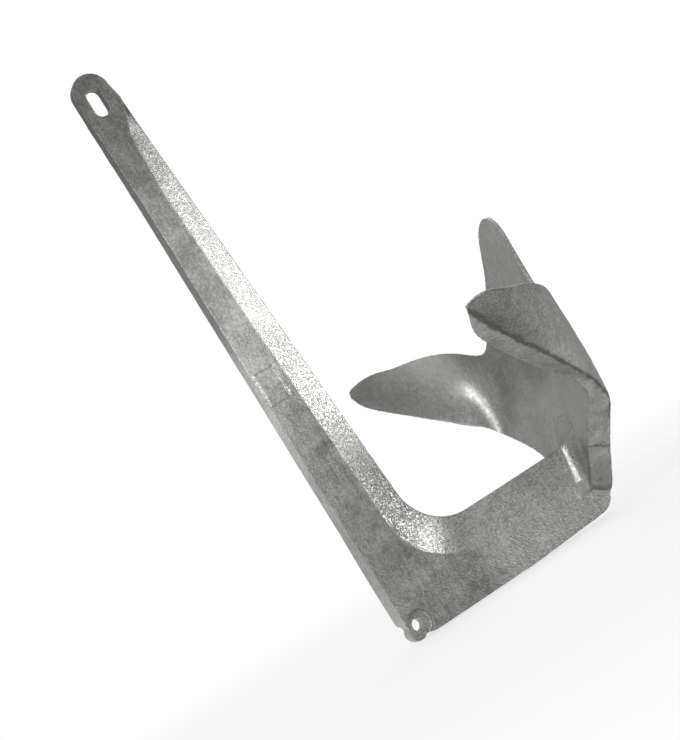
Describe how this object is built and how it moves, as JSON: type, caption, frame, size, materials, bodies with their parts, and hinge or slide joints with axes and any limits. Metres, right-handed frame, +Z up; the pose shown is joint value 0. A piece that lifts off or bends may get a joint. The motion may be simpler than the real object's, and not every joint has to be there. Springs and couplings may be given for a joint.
{
  "type": "claw anchor",
  "caption": "Rigid boat anchor: flat tapered shank with a shackle slot, bent into an arm that carries a scoop with a centre fluke and side flukes.",
  "frame": {"origin": "centre of the shackle slot, on the plane of symmetry", "axes": "+Z up the shank to its eye end, +X from the shank to the side the scoop is on, +Y to port, XZ is the plane of symmetry"},
  "size_m": [0.2629, 0.3226, 0.5412],
  "materials": {
    "shank_zinc": "hot-dip zinc, dull and pitted",
    "claw_zinc": "hot-dip zinc over cast steel, smooth inside and rough outside",
    "weld_zinc": "hot-dip zinc over weld metal"
  },
  "bodies": {
    "root": {"shank": "shank_zinc", "claw": "claw_zinc", "crown_weld_port": "weld_zinc", "crown_weld_starboard": "weld_zinc", "seam_weld_port": "weld_zinc", "seam_weld_starboard": "weld_zinc"}
  },
  "joints": []
}
